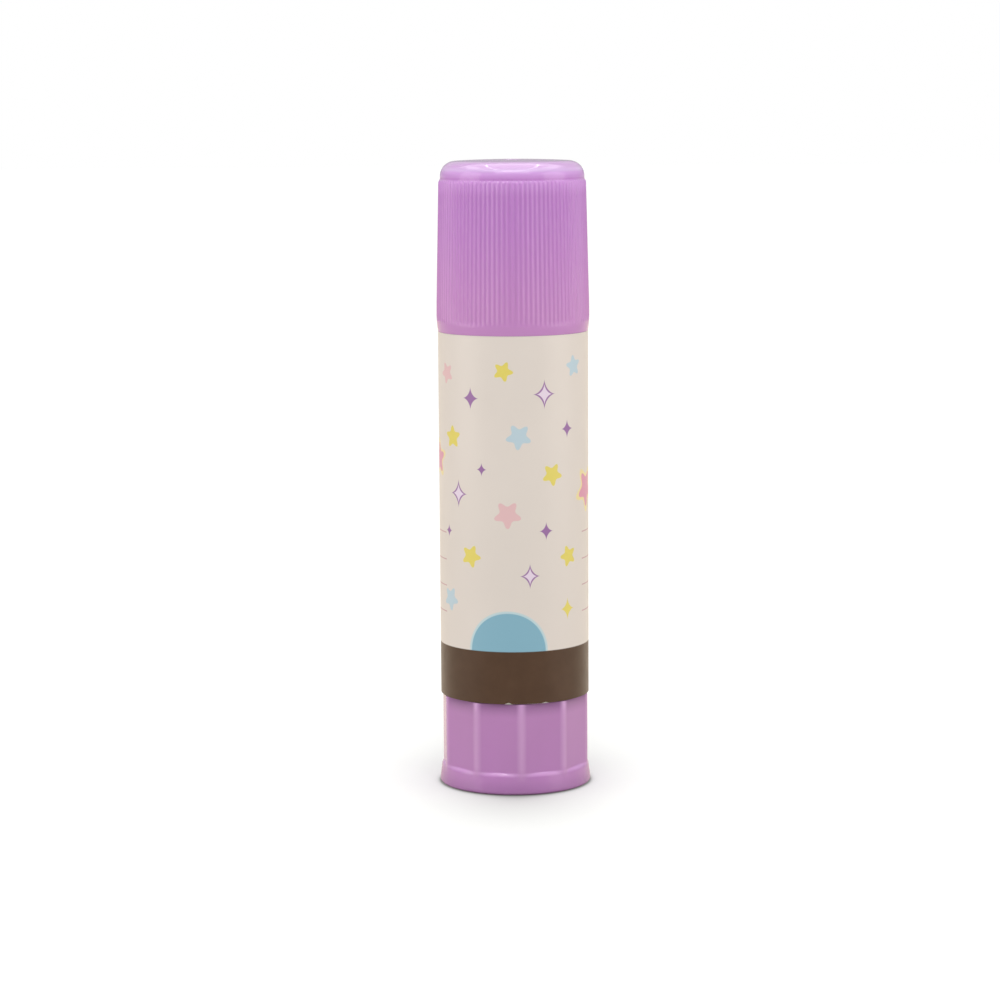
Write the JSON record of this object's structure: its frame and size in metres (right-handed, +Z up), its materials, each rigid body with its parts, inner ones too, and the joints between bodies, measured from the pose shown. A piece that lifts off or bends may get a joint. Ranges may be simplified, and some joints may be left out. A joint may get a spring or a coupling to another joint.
{
  "type": "glue stick",
  "caption": "Twist-up glue stick with a ribbed push-on cap, a labelled tube and a fluted twist knob that raises the glue on a lead screw.",
  "frame": {"origin": "centre of the knob's foot, on the surface that the stick stands on", "axes": "+Z up along the stick's axis, from the knob to the cap; the front of the label faces -Y"},
  "size_m": [0.0214, 0.0214, 0.0879],
  "materials": {
    "cap_plastic": "satin lavender moulded plastic, slightly translucent",
    "knob_plastic": "satin lavender moulded plastic, slightly translucent",
    "barrel_plastic": "smooth off-white moulded plastic",
    "inner_plastic": "plain white moulded plastic",
    "label_film": "printed film, off-white with a dark brown band along its lower edge and small pastel ornaments",
    "glue": "waxy white solid adhesive"
  },
  "bodies": {
    "barrel": {"barrel": "barrel_plastic", "label": "label_film"},
    "knob": {"base_knob": "knob_plastic", "spindle": "inner_plastic"},
    "carrier": {"carrier": "inner_plastic", "glue_stick": "glue"},
    "cap": {"cap": "cap_plastic"}
  },
  "joints": [
    {"name": "knob_turn", "type": "hinge", "parent": "barrel", "child": "knob", "pos_m": [0, 0, 0.006], "axis": [0, 0, 1], "range_deg": [0, 4680]},
    {"name": "carrier_slide", "type": "slide", "parent": "barrel", "child": "carrier", "axis": [0, 0, 1], "range_m": [0, 0.0455]},
    {"name": "cap_pull", "type": "slide", "parent": "carrier", "child": "cap", "axis": [0, 0, 1], "range_m": [0, 0.03]}
  ],
  "couplings": [
    {"joint": "carrier_slide", "follows": "knob_turn", "m_per_rad": 0.00055704}
  ]
}
